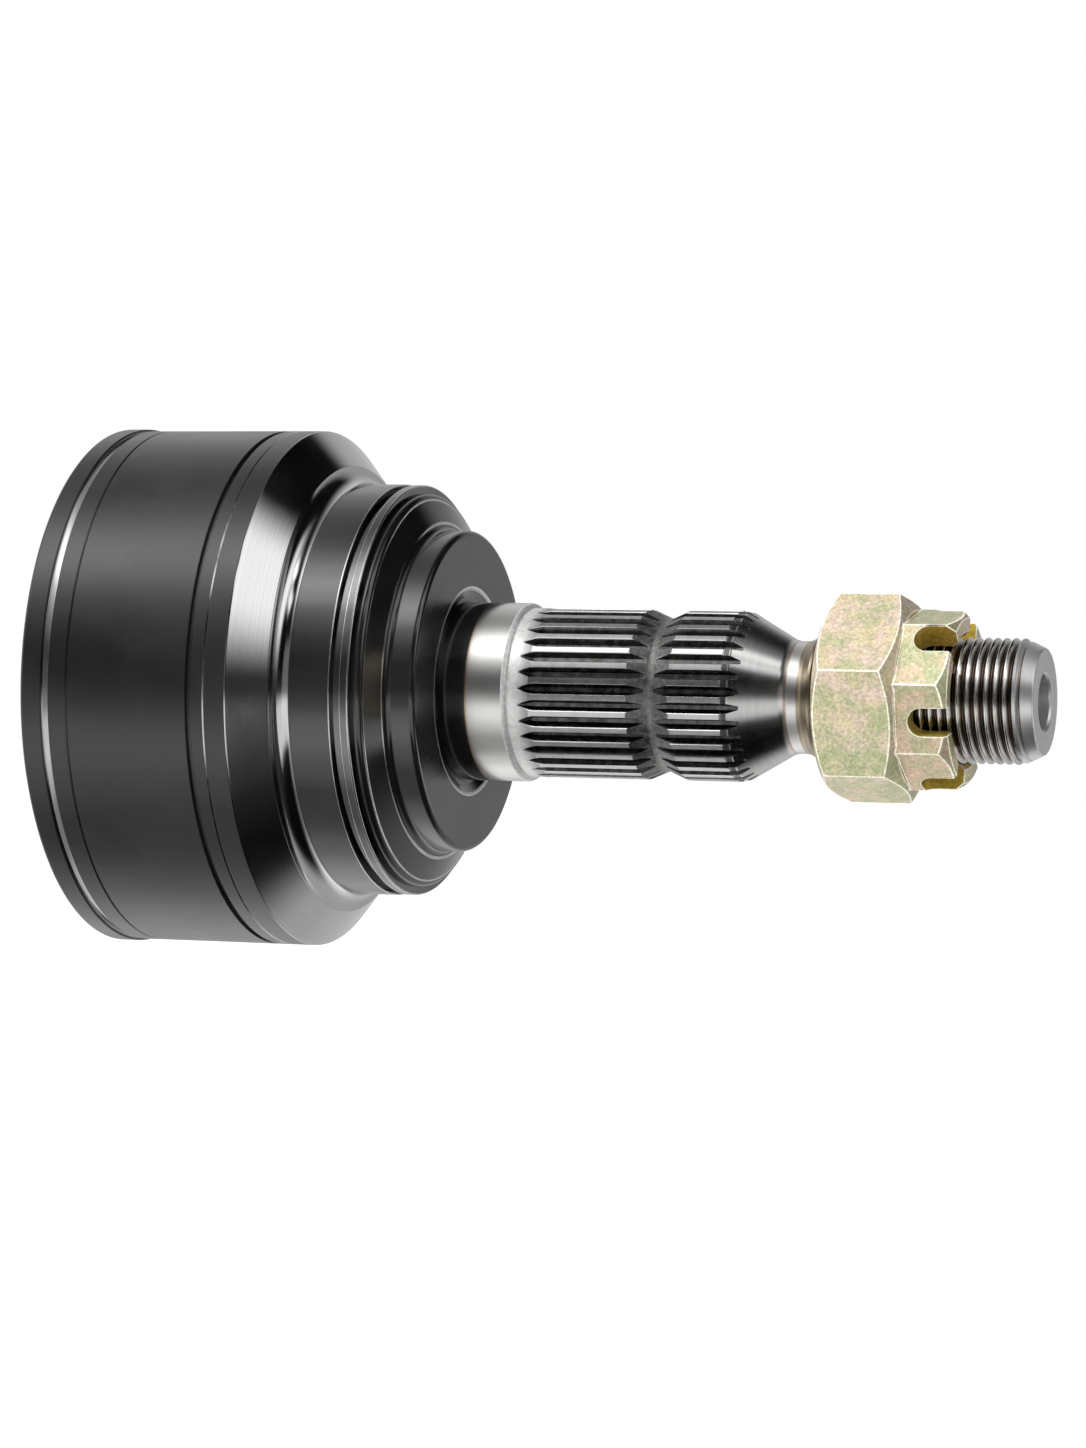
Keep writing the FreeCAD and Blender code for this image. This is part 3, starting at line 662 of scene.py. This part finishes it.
def makeNut(look):
    startX = look["startX"]
    hexEnd = startX + look["hexHeight"]
    topX = hexEnd + look["crownHeight"]
    corner = look["flats"] / math.sqrt(3)
    past = 1  # how far a cutter stands out

    # hexagon, turned off to 30 degrees at both ends
    reach, seat = corner + past, look["seat"]
    rise = (reach - seat) * math.tan(math.radians(30))
    piece = makePrism("castleNut", 6, corner, look["hexTurn"], startX - 0.5, look["hexHeight"] + 1)
    envelope = drawOutline("envelope", [
        (startX, 0), (startX, seat), (startX + rise, reach), (hexEnd - rise, reach), (hexEnd, seat),
        (hexEnd, 0)])
    turnOutline(envelope, look["steps"])
    applyBoolean(piece, envelope, "INTERSECT")

    # crown with eight flats, which starts inside the hexagon and is turned off to 45 degrees at its top
    radius, far = look["crownRadius"], 20
    crown = makePrism("crown", 8, radius, look["crownTurn"], startX + 1, topX - startX - 0.5)
    envelope = drawOutline("envelope", [
        (startX + 0.5, 0), (startX + 0.5, far), (topX + radius - (far + look["crownBite"]), far),
        (topX, radius - look["crownBite"]), (topX, 0)])
    turnOutline(envelope, look["steps"])
    applyBoolean(crown, envelope, "INTERSECT")
    applyBoolean(piece, crown, "UNION")

    # the bore, turned a little so that none of its edges lies on an edge of the flats
    bore, boreMouth, sink = look["bore"], look["boreMouth"], 0.9
    hole = drawOutline("hole", [
        (startX - past, 0), (startX - past, boreMouth), (startX + sink, bore), (topX - sink, bore),
        (topX + past, boreMouth), (topX + past, 0)])
    turnOutline(hole, look["steps"])
    enterEdit(hole)
    turnMesh(look["boreTurn"])
    bpy.ops.object.mode_set(mode="OBJECT")
    applyBoolean(piece, hole, "DIFFERENCE")

    # six slots with a round floor
    half = look["slotWidth"] / 2
    floorX = topX - look["slotDepth"]
    innerR, slotLength = 9, 11
    slot = drawChain("slot", [(topX + past, -innerR, half), (floorX + half, -innerR, half)])
    bpy.ops.mesh.spin(steps=14, angle=math.pi, center=((floorX + half) * mm, -innerR * mm, 0),
                      axis=(0, 1, 0), use_auto_merge=False)
    bpy.ops.mesh.extrude_vertices_move(
        TRANSFORM_OT_translate={"value": ((look["slotDepth"] - half + past) * mm, 0, 0)})
    bpy.ops.mesh.select_all(action="SELECT")
    bpy.ops.mesh.edge_face_add()
    bpy.ops.mesh.extrude_region_move(TRANSFORM_OT_translate={"value": (0, -slotLength * mm, 0)})
    bpy.ops.mesh.select_all(action="SELECT")
    bpy.ops.mesh.normals_make_consistent(inside=False)
    turnMesh(look["hexTurn"] - 30)
    ringCopies(6)
    bpy.ops.object.mode_set(mode="OBJECT")
    applyBoolean(piece, slot, "DIFFERENCE")

    enterEdit(piece)
    bpy.ops.mesh.select_all(action="SELECT")
    bpy.ops.mesh.remove_doubles(threshold=0.01 * mm)
    bpy.ops.mesh.dissolve_limited(angle_limit=math.radians(0.5))
    paintZones(piece, [
        ("yellowZinc", lambda x, r, along, out: True),
        # the bevel's faces take the near-white edge zinc, worn plating and painted highlight
        ("wornZincEdgeAndHighlight", lambda x, r, along, out: False),  # no face yet: the bevel takes it
        # the crown takes the darker zinc of painted shade
        ("shadedZincCrown", lambda x, r, along, out: x > hexEnd - 0.5 and out > 0.6),
        ("zincSlot", lambda x, r, along, out: out < 0.25 and startX + 0.3 < x < topX - 0.3)])
    activate(piece)
    bpy.ops.object.modifier_add(type="BEVEL")
    bevel = piece.modifiers[-1]
    bevel.width = look["edge"] * mm
    bevel.segments = 2
    bevel.limit_method = "ANGLE"
    bevel.angle_limit = math.radians(24)
    # slot 1: the bevel's faces get the edge zinc of worn plating and painted highlight
    bevel.material = 1
    bevel.use_clamp_overlap = False
    bpy.ops.object.modifier_apply(modifier=bevel.name)
    return piece


castleNut = makeNut(nut)
smoothShade(castleNut, 20)
dress(castleNut, "nut", ["castle_nut"])
print("castle nut,", len(castleNut.data.polygons), "faces")


# What runs inside the bell keeps its CAD shape

inside = {"cage": "phosphateCage", "inner_race": "starSteel", "circlip": "springWire"}
inside.update({"ball_" + str(number): "ballChrome" for number in range(1, 7)})
for nodeName, finish in inside.items():
    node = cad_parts[nodeName]
    for place in node.material_slots:
        place.material = material[finish]
print("cage, inner race, balls and circlip dressed")


# Studio

studio = {"floorZ": -0.15, "floorSize": 12, "floorTone": 0.9, "diffuseLight": 0.5, "mouthLight": 0.7,
          "endLight": 0.004, "most": 4.0}
lamps = {"keyLamp": {"place": (-0.25, -0.50, 0.75), "size": (0.6, 0.4), "power": 13.0},
         "fillLamp": {"place": (0.5, -0.6, 0.2), "size": (0.5, 0.5), "power": 1.5}}
lampAim = (0.0575, 0, 0)
view = {"place": (0.3078, -0.7201, 0), "ahead": (-0.33412, 0.94254, -0.00674), "roll": 1.09,
        "lens": 116.15}

# What shiny surfaces show round the spin axis: degrees from the near side upward, level
roundLight = [
    (-180, 0.6), (-160, 0.65), (-137, 1.2), (-121, 1.4), (-98, 0.95), (-79, 0.45), (-60, 0.45),
    (-47, 0.9), (-30, 1.45), (-19, 1.3), (-9, 0.5), (2, 0.16), (16, 0.12), (28, 0.35), (36, 0.8),
    (43, 1.3), (52, 3.0), (60, 3.6), (70, 2.6), (78, 1.5), (86, 0.8), (94, 0.5), (104, 0.42),
    (114, 0.5), (128, 0.7), (146, 0.8), (162, 0.6), (180, 0.6)]

# and what they show past the shaft's end: level, across from, to and softness, up from, to and softness
endPatches = [
    (1.55, -0.30, 0.20, 0.14, 0.22, 0.78, 0.19), (1.55, -0.62, -0.36, 0.03, 0.58, 0.72, 0.04),
    (1.55, -0.36, -0.14, 0.03, 0.72, 0.84, 0.04), (1.0, -1.2, -0.27, 0.03, -0.48, -0.08, 0.06),
    (0.05, -0.3, 0.3, 0.1, -0.45, 0.1, 0.25), (1.7, 0.28, 0.80, 0.08, -0.22, -0.035, 0.03),
    (0.50, 0.50, 1.2, 0.20, -1.2, 0.12, 0.08), (0.45, 0.86, 1.2, 0.06, 0.12, 1.2, 0.08),
    (0.05, 0.40, 1.2, 0.25, -1.2, -0.30, 0.15), (0.2, -1.2, -0.80, 0.04, -0.30, 0.40, 0.1)]


def band(tree, value, low, high, soft):
    return mathOf(tree, "MULTIPLY", fade(tree, value, low - soft, low + soft),
                  fade(tree, value, high - soft, high + soft, 1.0, 0.0))


def blendOf(tree, share, first, second):
    rest = mathOf(tree, "SUBTRACT", 1.0, share)
    return mathOf(tree, "ADD", mathOf(tree, "MULTIPLY", first, rest),
                  mathOf(tree, "MULTIPLY", second, share))


def makeWorld():
    world = bpy.data.worlds.new("studio")
    bpy.context.scene.world = world
    world.use_nodes = True
    world.cycles.sampling_method = "NONE"
    tree = world.node_tree
    background = tree.nodes["Background"]
    ray = addNode(tree, "ShaderNodeLightPath")
    toward = addNode(tree, "ShaderNodeTexCoord").outputs["Generated"]
    x, y, z = addNode(tree, "ShaderNodeSeparateXYZ", {0: toward}).outputs

    turned = mathOf(tree, "ARCTAN2", z, mathOf(tree, "MULTIPLY", y, -1.0))
    share = mathOf(tree, "ADD", mathOf(tree, "DIVIDE", turned, 2 * math.pi), 0.5)
    ramp = addNode(tree, "ShaderNodeValToRGB", {0: share})
    stops = ramp.color_ramp
    stops.interpolation = "EASE"
    while len(stops.elements) < len(roundLight):
        stops.elements.new(0.5)
    for stop, light in zip(stops.elements, roundLight):
        stop.position = light[0] / 360 + 0.5
    for stop, light in zip(stops.elements, roundLight):
        stop.color = (light[1] / studio["most"],) * 3 + (1,)
    around = mathOf(tree, "MULTIPLY", ramp.outputs[0], studio["most"])
    # the bands run together at the mouth's end, where an even tone takes over
    isMouth = fade(tree, x, -0.97, -0.70, 1.0, 0.0)
    around = blendOf(tree, isMouth, around, studio["mouthLight"])

    ahead = studio["endLight"]
    for level, left, right, sideSoft, low, high, upSoft in endPatches:
        inPatch = mathOf(tree, "MULTIPLY", band(tree, y, left, right, sideSoft),
                         band(tree, z, low, high, upSoft))
        ahead = mathOf(tree, "ADD", ahead, mathOf(tree, "MULTIPLY", inPatch, level))
    isEnd = fade(tree, x, -0.25, 0.25)
    shiny = blendOf(tree, isEnd, around, ahead)

    seen = mathOf(tree, "MAXIMUM", ray.outputs["Is Glossy Ray"], ray.outputs["Is Transmission Ray"])
    level = blendOf(tree, seen, studio["diffuseLight"], shiny)
    level = blendOf(tree, ray.outputs["Is Camera Ray"], level, 1.0)
    tree.links.new(level, background.inputs["Strength"])
    background.inputs["Color"].default_value = (1, 1, 1, 1)


def makeFloor():
    deselectAll()
    bpy.ops.mesh.primitive_plane_add(size=studio["floorSize"], location=(0, 0, studio["floorZ"]))
    floor = bpy.context.object
    floor.name = "floor"
    made = bpy.data.materials.new("paleFloor")
    made.use_nodes = True
    tree = made.node_tree
    shader = tree.nodes["Principled BSDF"]
    shader.inputs["Base Color"].default_value = (studio["floorTone"],) * 3 + (1,)
    shader.inputs["Roughness"].default_value = 0.8
    shader.inputs["Specular IOR Level"].default_value = 0.0
    place = addNode(tree, "ShaderNodeTexCoord").outputs["Object"]
    away = addNode(tree, "ShaderNodeVectorMath", {0: place}, operation="LENGTH").outputs["Value"]
    ray = addNode(tree, "ShaderNodeLightPath")
    glow = mathOf(tree, "MULTIPLY", fade(tree, away, 0.1, 0.8, 0.28, 0.7), ray.outputs["Is Camera Ray"])
    shader.inputs["Emission Color"].default_value = (1, 1, 1, 1)
    tree.links.new(glow, shader.inputs["Emission Strength"])
    floor.data.materials.append(made)
    floor.visible_glossy = False


def addLamp(name, look):
    deselectAll()
    bpy.ops.object.light_add(type="AREA", location=look["place"])
    lamp = bpy.context.object
    lamp.name = name
    lamp.data.shape = "RECTANGLE"
    lamp.data.size, lamp.data.size_y = look["size"]
    lamp.data.energy = look["power"]
    lamp.visible_glossy = False
    lamp.visible_camera = False
    ahead = Vector(lampAim) - Vector(look["place"])
    lamp.rotation_euler = ahead.to_track_quat("-Z", "Y").to_euler()


def makeCamera():
    deselectAll()
    bpy.ops.object.camera_add(location=view["place"])
    camera = bpy.context.object
    camera.name = "camera"
    camera.data.sensor_fit = "VERTICAL"
    camera.data.sensor_height = 36
    camera.data.lens = view["lens"]
    camera.data.clip_start = 0.01
    ahead = Vector(view["ahead"]).normalized()
    camera.rotation_euler = ahead.to_track_quat("-Z", "Y").to_euler()
    camera.rotation_euler.rotate_axis("Z", math.radians(view["roll"]))
    bpy.context.scene.camera = camera


makeWorld()
makeFloor()
for name, look in lamps.items():
    addLamp(name, look)
makeCamera()
bpy.context.scene.view_settings.view_transform = "Standard"
print("studio")

deselectAll()
